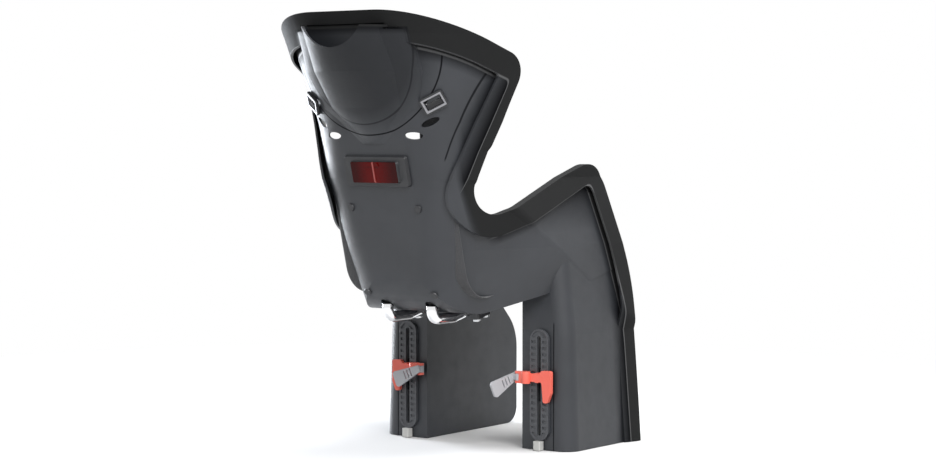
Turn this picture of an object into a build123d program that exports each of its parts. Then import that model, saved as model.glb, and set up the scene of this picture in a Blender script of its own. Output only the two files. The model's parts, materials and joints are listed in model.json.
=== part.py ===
from build123d import *
from collections import namedtuple
from math import atan2, cos, degrees, radians, sin, tan
import os

os.makedirs("parts", exist_ok=True)

# Child seat for a bicycle, in millimetres: +X is the child's right, +Y forwards, +Z up.
# The origin is on the ground, under the middle of the seat's depth.

# Shell
wall = 3.0
lip_gap = 7.0
lip_width = 32.0
front_angle = 88.5
front_corner_radius = 60.0
reach = 300.0
far = 600.0

# Horizontal sections of the bucket
Station = namedtuple("Station", "height rear flat_half corner_radius flare side")
stations = (
    Station(height=-20, rear=-117, flat_half=30, corner_radius=70, flare=74, side=178),
    Station(height=170, rear=-117, flat_half=18, corner_radius=70, flare=74, side=171),
    Station(height=300, rear=-151, flat_half=46, corner_radius=70, flare=74, side=158),
    Station(height=400, rear=-177, flat_half=60, corner_radius=70, flare=58, side=140),
    Station(height=440, rear=-187.5, flat_half=55, corner_radius=80, flare=58, side=150),
    Station(height=480, rear=-198, flat_half=52, corner_radius=90, flare=58, side=205),
    Station(height=600, rear=-238, flat_half=50, corner_radius=130, flare=70, side=250),
    Station(height=670, rear=-268, flat_half=58, corner_radius=130, flare=70, side=270),
)
side_station_y = 200.0

# Rim in side view, as corners (y, z) and radii
crown = (-330.0, 660.0)
head_tip = (-93.0, 565.0)
waist = (-150.0, 326.0)
shoulder = (160.0, 433.0)
knee = (216.0, 245.0)
toe = (222.0, -40.0)
head_tip_radius = 36.0
waist_radius = 45.0
shoulder_radius = 50.0
knee_radius = 300.0

# Pan and leg shields
pan_height = 232.0
pan_slope = 12.4
pan_rear_radius = 75.0
pan_front = 175.0
pan_front_drop = 38.0
pan_front_radius = 30.0
rear_clearance = 0.6
leg_rear_y = 50.0
leg_inner_x = 88.0
leg_outer_radius = 24.0
leg_sink = 1.0
leg_top = 345.0
inner_wall_front = 289.0
inner_wall_corner = 26.0
inner_wall_bend = 150.0
inner_wall_radius = 70.0

# Scoop in the mouth of the helmet pocket
scoop_radius = 58.0
scoop_height = 640.0
scoop_back = -249.5
mouth_drop = 28.0
ring_drop = 6.0

# Helmet pocket on the back: heights, half widths and depths
mouth_height = scoop_height - mouth_drop
pocket = ((452, 24, 4), (500, 68, 22), (550, 78, 45), (mouth_height, 75, 62))
pocket_ring = ((450, 34, 3), (500, 88, 9), (550, 101, 22), (mouth_height - ring_drop, 99, 34))
pocket_inset = 12.0

# Vents and strap slots in the back, as x and height
oval_place = (71.0, 461.0)
oval_size = (28.0, 10.5)
leaf_place = (96.5, 480.0)
leaf_size = (28.0, 10.0)
leaf_tilt = 25.0
frame_place = (106.0, 508.0)
frame_tilt = 28.0
frame_size = (36.0, 25.0)
frame_border = 5.0
frame_depth = 5.0
webbing_width = 22.0
webbing_thickness = 1.8
slot_clearance = 2.0
hole_depth = 12.0

# Reflector
reflector_height = 412.0
bezel_size = (112.0, 46.0)
bezel_depth = 9.0
bezel_step = 5.0
bezel_radius = 5.0
bezel_taper = 20.0
bezel_border = 13.0
lens_size = (80.0, 30.0)
lens_floor = 3.0
lens_clearance = 0.3
lens_bump = 22.0
lens_radius = 2.0
lens_ridge = 3.0
seat_gap = 0.5

# Cushion
cushion_thickness = 20.0
cushion_gap = 1.2
cushion_top = 440.0
cushion_front = 150.0
cushion_half = 112.0
clip_x = 60.0
clip_heights = (236.0, 359.0)
clip_head_radius = 6.0
clip_stem_radius = 2.5
clip_stem = 8.0
clip_hole_clearance = 0.4

# Support bar
bar_radius = 8.0
bar_bore = 5.5
bar_x = 40.0
bar_front = 24.0
bar_rear = -108.0
bar_level = 198.5
bar_gap = 1.2
bar_rise = 19.5
bar_bend = 15.0
bar_slot_clearance = 1.5
clamp_length = 120.0
clamp_width = 36.0
clamp_y = -10.0
clamp_screw_edge = 7.0
clamp_thickness = 21.0
screw_radius = 3.0
screw_head_radius = 5.5

# Footrest rails
rail_x = 121.0
rail_width = 32.0
rail_low = 14.0
rail_high = 178.0
rail_thickness = 5.0
rail_recess = 1.8
rail_border = 2.5
slot_width = 7.0
slot_ridge = 12.0
slot_low = 21.0
slot_high = 168.0
notch_pitch = 9.0
rib_count = 16
notch_height = 4.5
foot_size = (12.0, 12.0)
foot_radius = 2.0

# Footrest, latch and lever
latch_height = 107.0
latch_gap = 0.4
latch_thickness = 6.0
blade_length = 36.0
blade_width = 25.0
blade_rise = 11.0
blade_radius = 3.0
bridge_height = 12.0
barrel_radius = 7.0
barrel_x = 103.0
neck_width = 6.0
neck_height = 14.0
pin_radius = 2.0
pin_fit = 0.05
hub_radius = 5.0
hub_height = 10.0
hub_gap = 0.3
lug_height = 3.5
pin_x = 90.0
lever_length = 46.0
lever_width = 26.0
lever_thickness = 3.5
lever_droop = 24.0
lever_open = 105.0
slit_pitch = 6.0
slit_width = 2.2
slit_count = 3
sole_width = 56.0
sole_shift = 3.0
sole_radius = 20.0
heel_gap = 0.6
heel_thickness = 4.0
heel_width = 28.0
sole_length = 122.0
sole_drop = 30.0
sole_thickness = 6.0
sole_rim = 12.0
strap_height = 58.0
foot_strap_width = 22.0
foot_strap_thickness = 2.2
foot_strap_y = 135.0

# Harness
buckle_place = (0.0, -50.0, 318.0)
buckle_size = (46.0, 20.0, 52.0)
buckle_tilt = 15.0
tongue_width = 20.0
tongue_thickness = 3.0
tongue_depth = 16.0
tongue_x = 11.5
tongue_clear = 4.0
button_recess = 6.5
button_stand = 2.0
crotch_tab = 10.0
button_size = (22.0, 30.0)
button_travel = 4.0
pad_size = (44.0, 120.0, 13.0)
pad_place = 0.36
strap_inset = 6.0
head_size = (26.0, 12.0)
buckle_radius = 6.0


def meet(p, p_angle, q, q_angle):
    """Point where two lines cross, each given by a point and its angle in degrees."""
    px, py = cos(radians(p_angle)), sin(radians(p_angle))
    qx, qy = cos(radians(q_angle)), sin(radians(q_angle))
    along = ((q[0] - p[0]) * qy - (q[1] - p[1]) * qx) / (px * qy - py * qx)
    return (p[0] + along * px, p[1] + along * py)


def right_of(angle, distance):
    """Step of a given length to the right of a direction."""
    return (distance * sin(radians(angle)), -distance * cos(radians(angle)))


def moved(point, step):
    return (point[0] + step[0], point[1] + step[1])


def section(s, grow):
    """Corners and radii of a station's outline, moved outwards by grow, from left to right."""
    turn_x = s.flat_half + s.corner_radius * tan(radians(s.flare / 2))
    flare_point = moved((turn_x, s.rear), right_of(s.flare, grow))
    side_point = moved((s.side, side_station_y), right_of(front_angle, grow))
    first = meet((0, s.rear - grow), 0, flare_point, s.flare)
    second = meet(flare_point, s.flare, side_point, front_angle)
    end = meet(side_point, front_angle, (0, reach), 0)
    right = [first, second, end]
    left = [(-x, y) for x, y in reversed(right)]
    radii = [front_corner_radius + grow, s.corner_radius + grow]
    return left + right, radii + radii[::-1]


def hull(grow):
    """Bucket as a solid block, with its walls moved outwards by grow."""
    with BuildPart() as body:
        for s in stations:
            points, radii = section(s, grow)
            with BuildSketch(Plane.XY.offset(s.height)):
                with BuildLine():
                    FilletPolyline(*points, radius=radii)
                    Line(points[-1], points[0])
                make_face()
        loft(ruled=True)
    return body.part


def skin(outside, inside):
    """Thin wall between two distances from the bucket's outline."""
    with BuildPart() as body:
        for s in stations:
            outer, outer_radii = section(s, outside)
            inner, inner_radii = section(s, inside)
            with BuildSketch(Plane.XY.offset(s.height)):
                with BuildLine():
                    FilletPolyline(*outer, radius=outer_radii)
                    Line(outer[-1], inner[-1])
                    FilletPolyline(*inner, radius=inner_radii)
                    Line(inner[0], outer[0])
                make_face()
        loft(ruled=True)
    return body.part


def at_height(name, height):
    """Value of one of the stations' measures at a height, between two stations."""
    spans = list(zip(stations, stations[1:]))
    low, high = next((span for span in spans if span[1].height >= height), spans[-1])
    share = (height - low.height) / (high.height - low.height)
    return getattr(low, name) + share * (getattr(high, name) - getattr(low, name))


def back_line(grow):
    """Point and angle of the lower back in side view, moved outwards by grow."""
    low, high = stations[1], stations[2]
    return (low.rear - grow, low.height), degrees(atan2(high.height - low.height, high.rear - low.rear))


def pan_line(grow):
    """Point and angle of the pan's underside in side view, moved down by grow."""
    return (leg_rear_y, pan_height - grow), pan_slope


side_reach = 320.0
rim_corners = (crown, head_tip, waist, shoulder, knee, toe)
rim_radii = (head_tip_radius, -waist_radius, shoulder_radius, knee_radius)


def behind_rim(inset):
    """Everything behind and under the rim, moved back from it by inset."""
    lines = []
    for start, end in zip(rim_corners, rim_corners[1:]):
        angle = degrees(atan2(end[1] - start[1], end[0] - start[0]))
        lines.append((moved(start, right_of(angle, inset)), angle))
    corners = [meet(*first, *second) for first, second in zip(lines, lines[1:])]
    top = lines[0][0]
    bottom = meet(*lines[-1], (0, toe[1]), 0)
    with BuildPart() as region:
        with BuildSketch(Plane.YZ):
            with BuildLine():
                FilletPolyline(top, *corners, bottom, radius=[abs(r - inset) for r in rim_radii])
                Polyline(bottom, (-far, toe[1]), (-far, top[1]), top)
            make_face()
        extrude(amount=side_reach, both=True)
    return region.part


def over_pan(grow):
    """Space over the pan and in front of the lower back, with both moved outwards by grow."""
    corner = meet(*back_line(grow), *pan_line(grow))
    pan_end = meet(*pan_line(grow), (far, 0), 90)
    high = meet(*back_line(grow), (0, stations[2].height), 0)
    with BuildPart() as region:
        with BuildSketch(Plane.YZ):
            with BuildLine():
                FilletPolyline(high, corner, pan_end, radius=pan_rear_radius + grow)
                Polyline(pan_end, (far, 2 * far), (-far, 2 * far), (-far, high[1]), high)
            make_face()
        extrude(amount=side_reach, both=True)
    return region.part


def leg_plan(inset, x_from, height):
    """Plan of the right leg shield from its rear wall round to the front of its outer wall."""
    outer = moved((at_height("side", height) - leg_sink, side_station_y), right_of(front_angle, -inset))
    outer_rear = meet(outer, front_angle, (0, leg_rear_y + inset), 0)
    outer_front = meet(outer, front_angle, (0, reach), 0)
    return [(x_from, leg_rear_y + inset), outer_rear, outer_front]


def leg_wall(x_from, top):
    """Rear and outer walls of the right leg shield."""
    levels = [0] + [s.height for s in stations if 0 < s.height < top] + [top]
    with BuildPart() as walls:
        for level in levels:
            outside = leg_plan(0, x_from, level)
            inside = leg_plan(wall, x_from, level)
            with BuildSketch(Plane.XY.offset(level)):
                with BuildLine():
                    FilletPolyline(*outside, radius=leg_outer_radius)
                    Line(outside[-1], inside[-1])
                    FilletPolyline(*inside, radius=leg_outer_radius - wall)
                    Line(inside[0], outside[0])
                make_face()
        loft(ruled=True)
    return walls.part


def hump(levels, shrink):
    """Rounded hump on the back, made smaller by shrink."""
    with BuildPart() as body:
        for height, half_width, depth in levels:
            with BuildSketch(Plane.XY.offset(height + shrink * (height == levels[-1][0]))):
                with Locations((0, at_height("rear", height) + pocket_inset)):
                    Ellipse(half_width - shrink, depth + pocket_inset - shrink)
        loft(ruled=True)
    return body.part


outer_block = hull(0)
outside_region = over_pan(rear_clearance)


def on_back(x, height, tilt=0):
    """Plane on the outside of the back, turned by tilt, with its z axis pointing away from the shell."""
    sight = Axis((x, -2 * far, height), (0, 1, 0))
    first_hits = []
    for block in (outer_block, outside_region):
        first_hits.append(min(block.shell().find_intersection_points(sight), key=lambda hit: hit[0].Y))
    point, normal = max(first_hits, key=lambda hit: hit[0].Y)
    across = Vector(0, 0, 1).cross(normal).normalized()
    turned = across * cos(radians(tilt)) + normal.cross(across) * sin(radians(tilt))
    return Plane(origin=point, x_dir=turned, z_dir=normal)


# Places on the back and under the pan
frame_plane = on_back(*frame_place, frame_tilt)
oval_plane = on_back(*oval_place)
leaf_plane = on_back(*leaf_place, leaf_tilt)
clip_planes = [on_back(x, height) for x in (-clip_x, clip_x) for height in clip_heights]
buckle_plane = Plane(
    origin=buckle_place,
    x_dir=(1, 0, 0),
    z_dir=(0, -sin(radians(buckle_tilt)), cos(radians(buckle_tilt))),
)
buckle_base = buckle_plane.from_local_coords(Vector(0, 0, -buckle_size[2] / 2))
crotch_y = buckle_base.Y
bar_point, bar_angle = pan_line(rear_clearance + bar_gap + bar_radius)
bar_turn = meet(bar_point, bar_angle, (0, bar_level), 0)
bar_joint = meet(bar_point, bar_angle, (bar_front, 0), 90)


def under_pan(y):
    """Plane just under the pan, with its z axis pointing up through it."""
    return Plane(
        origin=(0, *meet(*pan_line(rear_clearance + seat_gap), (y, 0), 90)),
        x_dir=(1, 0, 0),
        z_dir=(0, -sin(radians(pan_slope)), cos(radians(pan_slope))),
    )


clamp_plane = under_pan(clamp_y)
screw_grid = GridLocations(clamp_length - 2 * clamp_screw_edge, clamp_width - 2 * clamp_screw_edge, 2, 2)

# Reflector
reflector_plane = on_back(0, reflector_height).offset(seat_gap)
with BuildPart() as reflector_bezel:
    with BuildSketch(reflector_plane):
        RectangleRounded(*bezel_size, bezel_radius)
    extrude(amount=bezel_step, taper=bezel_taper)
    with BuildSketch(reflector_plane.offset(bezel_step)):
        RectangleRounded(bezel_size[0] - 2 * bezel_border, bezel_size[1] - bezel_border, bezel_radius)
    extrude(amount=bezel_depth - bezel_step, taper=bezel_taper)
    with BuildSketch(reflector_plane.offset(lens_floor)):
        RectangleRounded(lens_size[0] + 2 * lens_clearance, lens_size[1] + 2 * lens_clearance, lens_radius)
    extrude(amount=bezel_depth, mode=Mode.SUBTRACT)

with BuildPart() as reflector_lens:
    with BuildSketch(reflector_plane.offset(lens_floor + lens_clearance)):
        RectangleRounded(*lens_size, lens_radius)
    extrude(amount=bezel_depth - lens_floor)
    with BuildSketch(reflector_plane.offset(bezel_depth)):
        Rectangle(lens_ridge, lens_size[1] - 2 * lens_radius)
        with Locations((0, lens_size[1] / 2 - lens_ridge)):
            Trapezoid(lens_bump, 2 * lens_ridge, 60)
    extrude(amount=lens_ridge / 2)

# Rails and feet
rail_front = leg_rear_y - seat_gap
rail_rear = rail_front - rail_thickness
rail_middle = (rail_x, (rail_low + rail_high) / 2)
rail_length = rail_high - rail_low
slot_length = slot_high - slot_low
with BuildPart() as rail_right:
    with BuildSketch(Plane.XZ.offset(-rail_front)):
        with Locations(rail_middle):
            SlotOverall(rail_length, rail_width, rotation=90)
    extrude(amount=rail_thickness)
    with BuildSketch(Plane.XZ.offset(-rail_rear)):
        with Locations(rail_middle):
            SlotOverall(rail_length - 2 * rail_border, rail_width - 2 * rail_border, rotation=90)
            SlotOverall(slot_length + rail_border, slot_ridge, rotation=90, mode=Mode.SUBTRACT)
            with GridLocations(1, notch_pitch, 1, rib_count):
                Rectangle(rail_width, notch_pitch - notch_height, mode=Mode.SUBTRACT)
    extrude(amount=-rail_recess, mode=Mode.SUBTRACT)
    with BuildSketch(Plane.XZ.offset(-rail_front)):
        with Locations((rail_x, (slot_low + slot_high) / 2)):
            SlotOverall(slot_length, slot_width, rotation=90)
    extrude(amount=rail_thickness, mode=Mode.SUBTRACT)

with BuildPart() as foot_right:
    with BuildSketch():
        with Locations((rail_x, rail_front - foot_size[1] / 2)):
            RectangleRounded(*foot_size, foot_radius)
    extrude(amount=rail_low - hub_gap)
    chamfer(foot_right.edges().group_by(Axis.Z)[0], foot_radius / 3)

# Latch, with its neck through the rail
latch_front = rail_rear - latch_gap
latch_rear = latch_front - latch_thickness
heel_rear = leg_rear_y + wall + heel_gap
pin_y = latch_front - barrel_radius - latch_gap
barrel_length = hub_height + 2 * (hub_gap + lug_height)
with BuildPart() as latch_right:
    with BuildSketch(Plane.XZ.offset(-latch_front)):
        with BuildLine():
            FilletPolyline(
                (barrel_x, latch_height + bridge_height / 2),
                (rail_x + blade_width * 0.2, latch_height + bridge_height / 2),
                (rail_x + blade_width * 0.35, latch_height + blade_rise),
                (rail_x + blade_width, latch_height + blade_rise),
                (rail_x + blade_width, latch_height - blade_length * 0.6),
                (rail_x + blade_width * 0.75, latch_height - blade_length),
                (rail_x + blade_width * 0.45, latch_height - blade_length),
                (rail_x + blade_width * 0.35, latch_height - bridge_height / 2),
                (barrel_x, latch_height - bridge_height / 2),
                radius=blade_radius,
                close=True,
            )
        make_face()
    extrude(amount=latch_thickness)
    with Locations((barrel_x, pin_y, latch_height)):
        Cylinder(barrel_radius, barrel_length)
    with BuildSketch(Plane.XY.offset(latch_height - barrel_length / 2)):
        with Locations(((pin_x + barrel_x) / 2, pin_y)):
            Rectangle(barrel_x - pin_x, 2 * hub_radius)
        with Locations((pin_x, pin_y)):
            Circle(hub_radius)
    extrude(amount=barrel_length)
    with Locations((pin_x, pin_y, latch_height)):
        Cylinder(barrel_x - barrel_radius - pin_x + hub_gap, hub_height + 2 * hub_gap, mode=Mode.SUBTRACT)
        Cylinder(pin_radius + pin_fit, barrel_length, mode=Mode.SUBTRACT)
    with Locations((rail_x, (latch_rear + heel_rear - seat_gap) / 2, latch_height)):
        Box(neck_width, heel_rear - seat_gap - latch_rear, neck_height)

# Lever, drawn closed across the rail
paddle_y = pin_y - barrel_radius - latch_gap
lever_plane = Plane(
    origin=(pin_x, paddle_y, latch_height),
    x_dir=(cos(radians(lever_droop)), 0, -sin(radians(lever_droop))),
    z_dir=(0, -1, 0),
)
with BuildPart() as lever_closed:
    with BuildSketch(lever_plane):
        with BuildLine():
            FilletPolyline(
                (-hub_radius, hub_height / 2),
                (lever_length, lever_width / 2),
                (lever_length, -lever_width / 2),
                (-hub_radius, -hub_height / 2),
                radius=5,
            )
            Line((-hub_radius, -hub_height / 2), (-hub_radius, hub_height / 2))
        make_face()
        with Locations((lever_length * 0.4, 0)):
            with GridLocations(slit_pitch, 1, slit_count, 1):
                SlotOverall(lever_width / 2, slit_width, rotation=90, mode=Mode.SUBTRACT)
    extrude(amount=lever_thickness)
    with Locations((pin_x, pin_y, latch_height)):
        Cylinder(hub_radius, hub_height)
    with Locations((pin_x, (pin_y + paddle_y - lever_thickness / 2) / 2, latch_height)):
        Box(1.4 * hub_radius, pin_y - paddle_y + lever_thickness / 2, hub_height - 1)
    with Locations((pin_x, pin_y, latch_height)):
        Cylinder(pin_radius + pin_fit, lever_width, mode=Mode.SUBTRACT)

with BuildPart() as lever_right:
    add(lever_closed.part.rotate(Axis((pin_x, pin_y, 0), (0, 0, 1)), -lever_open))

with BuildPart() as lever_left:
    add(mirror(lever_closed.part, about=Plane.YZ))

with BuildPart() as lever_pin_right:
    with Locations((pin_x, pin_y, latch_height)):
        Cylinder(pin_radius, barrel_length)

# Footrest and its strap
sole_x = rail_x + sole_shift
sole_height = latch_height - sole_drop
sole_middle = (sole_x, heel_rear + sole_length / 2)
with BuildPart() as footrest_right:
    with BuildSketch(Plane.XY.offset(sole_height - sole_thickness)):
        with Locations(sole_middle):
            RectangleRounded(sole_width, sole_length, sole_radius)
    extrude(amount=sole_thickness + sole_rim)
    with BuildSketch(Plane.XY.offset(sole_height)):
        with Locations(sole_middle):
            RectangleRounded(sole_width - 2 * wall, sole_length - 2 * wall, sole_radius - wall)
    extrude(amount=sole_rim, mode=Mode.SUBTRACT)
    with Locations((rail_x, heel_rear + heel_thickness / 2, (sole_height + latch_height + neck_height) / 2)):
        Box(heel_width, heel_thickness, latch_height + neck_height - sole_height)

with BuildPart() as foot_strap_right:
    strap_half = sole_width / 2 - wall - seat_gap - foot_strap_thickness / 2
    with BuildSketch(Plane.XZ.offset(-foot_strap_y)):
        with BuildLine():
            FilletPolyline(
                (sole_x - strap_half, sole_height + seat_gap),
                (sole_x - strap_half, sole_height + strap_height),
                (sole_x + strap_half, sole_height + strap_height),
                (sole_x + strap_half, sole_height + seat_gap),
                radius=strap_half * 0.8,
            )
        trace(line_width=foot_strap_thickness)
    extrude(amount=foot_strap_width / 2, both=True)

# Support bar with its clamp
with BuildPart() as support_bar:
    with BuildLine() as bar_path:
        FilletPolyline(
            (bar_x, bar_rear, bar_level + bar_rise),
            (bar_x, bar_rear, bar_level),
            (bar_x, *bar_turn),
            (bar_x, *bar_joint),
            (-bar_x, *bar_joint),
            (-bar_x, *bar_turn),
            (-bar_x, bar_rear, bar_level),
            (-bar_x, bar_rear, bar_level + bar_rise),
            radius=bar_bend,
        )
    with BuildSketch(Plane(origin=bar_path.line @ 0, z_dir=bar_path.line % 0)):
        Circle(bar_radius)
        Circle(bar_bore, mode=Mode.SUBTRACT)
    sweep()

with BuildPart() as bar_clamp:
    with BuildSketch(clamp_plane.offset(-clamp_thickness)):
        RectangleRounded(clamp_length, clamp_width, bezel_radius)
    extrude(amount=clamp_thickness)
    with BuildSketch(Plane(origin=clamp_plane.origin, x_dir=(1, 0, 0), z_dir=-clamp_plane.y_dir)):
        bar_drop = (bar_gap + bar_radius - seat_gap) * cos(radians(pan_slope))
        with Locations((bar_x, -bar_drop), (-bar_x, -bar_drop)):
            Circle(bar_radius + hub_gap)
            with Locations((0, bar_radius)):
                Rectangle(2 * (bar_radius + hub_gap), 2 * bar_radius)
    extrude(amount=clamp_width, both=True, mode=Mode.SUBTRACT)
    with BuildSketch(clamp_plane):
        with screw_grid:
            Circle(screw_radius + hub_gap)
    extrude(amount=-clamp_thickness, mode=Mode.SUBTRACT)

with BuildPart() as clamp_screws:
    with BuildSketch(clamp_plane.offset(-clamp_thickness - seat_gap)):
        with screw_grid:
            Circle(screw_head_radius)
    extrude(amount=-screw_radius)
    with BuildSketch(clamp_plane.offset(-clamp_thickness - seat_gap)):
        with screw_grid:
            Circle(screw_radius)
    extrude(amount=clamp_thickness + 2 * seat_gap + rear_clearance + wall)

# Cushion with its clips
cushion_grow = -wall - cushion_gap - cushion_thickness / 2
cushion_hull = hull(-wall - cushion_gap)
with BuildPart() as seat_cushion:
    with BuildSketch(Plane.YZ):
        with BuildLine():
            FilletPolyline(
                meet(*back_line(cushion_grow), (0, cushion_top), 0),
                meet(*back_line(cushion_grow), *pan_line(cushion_grow)),
                meet(*pan_line(cushion_grow), (cushion_front, 0), 90),
                radius=pan_rear_radius + cushion_grow,
            )
        trace(line_width=cushion_thickness)
    extrude(amount=cushion_half, both=True)
    add(cushion_hull, mode=Mode.INTERSECT)
    with Locations((0, crotch_y, pan_height)):
        Box(webbing_width + slot_clearance, webbing_thickness + slot_clearance, far / 4, mode=Mode.SUBTRACT)
    for plane in clip_planes:
        with BuildSketch(plane.offset(-wall)):
            Circle(clip_stem_radius + clip_hole_clearance)
        extrude(amount=clip_stem, both=True, mode=Mode.SUBTRACT)

with BuildPart() as cushion_clips:
    for plane in clip_planes:
        with BuildSketch(plane.offset(seat_gap)):
            Circle(clip_head_radius)
        extrude(amount=clip_head_radius / 3, taper=20)
        with BuildSketch(plane.offset(seat_gap)):
            Circle(clip_stem_radius)
        extrude(amount=-clip_stem - wall)

# Harness
with BuildPart() as harness_frame_right:
    with BuildSketch(frame_plane.offset(seat_gap)):
        RectangleRounded(*frame_size, frame_border)
        Rectangle(frame_size[0] - 2 * frame_border, frame_size[1] - 2 * frame_border, mode=Mode.SUBTRACT)
    extrude(amount=frame_depth)

buckle_top = buckle_plane.offset(buckle_size[2] / 2)
buckle_front = Plane(origin=buckle_place, x_dir=(1, 0, 0), z_dir=buckle_plane.y_dir)
button_seat = buckle_size[1] / 2 - button_recess
with BuildPart() as buckle_body:
    with BuildSketch(buckle_plane):
        RectangleRounded(buckle_size[0], buckle_size[1], buckle_radius)
    extrude(amount=buckle_size[2] / 2, both=True)
    with BuildSketch(buckle_top):
        with Locations((tongue_x, 0), (-tongue_x, 0)):
            Rectangle(tongue_width + 2 * hub_gap, tongue_thickness + 2 * hub_gap)
    extrude(amount=-tongue_depth - hub_gap, mode=Mode.SUBTRACT)
    with BuildSketch(buckle_front.offset(button_seat)):
        RectangleRounded(button_size[0] + 2 * hub_gap, button_size[1] + 2 * hub_gap, buckle_radius)
    extrude(amount=button_recess, mode=Mode.SUBTRACT)

with BuildPart() as buckle_button:
    with BuildSketch(buckle_front.offset(button_seat + hub_gap + button_travel)):
        RectangleRounded(*button_size, buckle_radius)
    extrude(amount=button_recess - button_travel + button_stand)

with BuildPart() as buckle_tongue_right:
    with BuildSketch(buckle_top.offset(-tongue_depth)):
        with Locations((tongue_x, 0)):
            Rectangle(tongue_width, tongue_thickness)
    extrude(amount=tongue_depth + tongue_clear)
    with BuildSketch(buckle_top.offset(tongue_clear)):
        with Locations((tongue_x - tongue_width / 2 + head_size[0] / 2, 0)):
            RectangleRounded(head_size[0], tongue_thickness, tongue_thickness / 3)
    extrude(amount=head_size[1])

strap_start = frame_plane.from_local_coords(Vector(0, 0, -wall - strap_inset))
strap_end = buckle_top.from_local_coords(
    Vector(tongue_x - tongue_width / 2 + head_size[0] / 2, 0, tongue_clear + head_size[1] + 2 * seat_gap)
)
strap_run = strap_end - strap_start
strap_across = frame_plane.x_dir - strap_run * (frame_plane.x_dir.dot(strap_run) / strap_run.length ** 2)
strap_plane = Plane(origin=strap_start, x_dir=strap_across, z_dir=strap_run)
with BuildPart() as strap_right:
    with BuildSketch(strap_plane):
        Rectangle(webbing_width, webbing_thickness)
    extrude(amount=strap_run.length)
    with BuildSketch(frame_plane.offset(-wall - strap_inset)):
        Rectangle(webbing_width, webbing_thickness)
    extrude(amount=wall + strap_inset + 2 * webbing_thickness)
    with BuildSketch(frame_plane.offset(seat_gap + webbing_thickness)):
        Rectangle(webbing_width, frame_size[1] - 2 * frame_border - slot_clearance)
    extrude(amount=webbing_thickness)

with BuildPart() as shoulder_pad_right:
    with BuildSketch(strap_plane.offset(strap_run.length * pad_place - pad_size[1] / 2)):
        RectangleRounded(pad_size[0], pad_size[2], pad_size[2] * 0.4)
        Rectangle(webbing_width + 2 * hub_gap, webbing_thickness + 2 * hub_gap, mode=Mode.SUBTRACT)
    extrude(amount=pad_size[1])

with BuildPart() as crotch_strap:
    with BuildSketch(Plane.XY.offset(buckle_base.Z - hub_gap - webbing_thickness)):
        with Locations((0, crotch_y)):
            Rectangle(webbing_width, webbing_thickness)
    extrude(amount=under_pan(crotch_y).origin.Z - buckle_base.Z)
    with BuildSketch(under_pan(crotch_y)):
        Rectangle(webbing_width, crotch_tab)
    extrude(amount=-webbing_thickness)

# Left pieces
with BuildPart() as rail_left:
    add(mirror(rail_right.part, about=Plane.YZ))

with BuildPart() as foot_left:
    add(mirror(foot_right.part, about=Plane.YZ))

with BuildPart() as latch_left:
    add(mirror(latch_right.part, about=Plane.YZ))

with BuildPart() as lever_pin_left:
    add(mirror(lever_pin_right.part, about=Plane.YZ))

with BuildPart() as footrest_left:
    add(mirror(footrest_right.part, about=Plane.YZ))

with BuildPart() as foot_strap_left:
    add(mirror(foot_strap_right.part, about=Plane.YZ))

with BuildPart() as harness_frame_left:
    add(mirror(harness_frame_right.part, about=Plane.YZ))

with BuildPart() as strap_left:
    add(mirror(strap_right.part, about=Plane.YZ))

with BuildPart() as shoulder_pad_left:
    add(mirror(shoulder_pad_right.part, about=Plane.YZ))

with BuildPart() as buckle_tongue_left:
    add(mirror(buckle_tongue_right.part, about=Plane.YZ))

# Holes in the shell for vents, straps, clips, screws and the support bar
with BuildPart() as shell_holes:
    with BuildSketch(oval_plane):
        Ellipse(oval_size[0] / 2, oval_size[1] / 2)
    extrude(amount=hole_depth, both=True)
    with BuildSketch(leaf_plane):
        Ellipse(leaf_size[0] / 2, leaf_size[1] / 2)
    extrude(amount=hole_depth, both=True)
    with BuildSketch(frame_plane):
        Rectangle(webbing_width + slot_clearance, webbing_thickness + slot_clearance)
    extrude(amount=hole_depth, both=True)
    with Locations((bar_x, bar_rear, bar_level + bar_rise)):
        Cylinder(bar_radius + bar_slot_clearance, 3 * hole_depth)
    mirror(about=Plane.YZ)
    for plane in clip_planes:
        with BuildSketch(plane):
            Circle(clip_stem_radius + clip_hole_clearance)
        extrude(amount=hole_depth, both=True)
    with BuildSketch(clamp_plane):
        with screw_grid:
            Circle(screw_radius + hub_gap)
    extrude(amount=hole_depth)
    with Locations((0, crotch_y, pan_height)):
        Box(webbing_width + slot_clearance, webbing_thickness + slot_clearance, far / 10)

# Seat shell
rim_region = behind_rim(0)
inside_region = over_pan(-wall)

with BuildPart() as cavity:
    add(hull(-wall))
    add(inside_region, mode=Mode.INTERSECT)

with BuildPart() as rim_lip:
    add(skin(lip_gap + wall, lip_gap))
    add(rim_region, mode=Mode.INTERSECT, clean=False)
    add(behind_rim(lip_width), mode=Mode.SUBTRACT, clean=False)

with BuildPart() as rim_fold:
    add(skin(lip_gap + wall / 2, -wall / 2))
    add(rim_region, mode=Mode.INTERSECT, clean=False)
    add(behind_rim(wall), mode=Mode.SUBTRACT, clean=False)

with BuildPart() as pocket_walls:
    add([hump(pocket, 0), hump(pocket_ring, 0)])
    add(hull(-wall), mode=Mode.SUBTRACT)
    with Locations((0, at_height("rear", scoop_height), scoop_height)):
        Cylinder(scoop_radius, far / 2, rotation=(90, 0, 0), mode=Mode.SUBTRACT)

with BuildPart() as pocket_hollow:
    add([hump(pocket, wall), hump(pocket_ring, wall)])

with BuildPart() as scoop_wall:
    add(hump(pocket, wall / 2))
    with Locations((0, scoop_back, scoop_height)):
        Box(4 * scoop_radius, wall, 2.4 * scoop_radius, mode=Mode.INTERSECT)

with BuildPart() as pan_floor:
    add(hull(-wall / 2))
    add(outside_region, mode=Mode.INTERSECT)
    add(inside_region, mode=Mode.SUBTRACT)
    with Locations((0, leg_rear_y + wall + far, 0), (0, 0, stations[2].height + 2 * far - wall)):
        Box(4 * far, 2 * far, 4 * far, mode=Mode.SUBTRACT)

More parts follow.
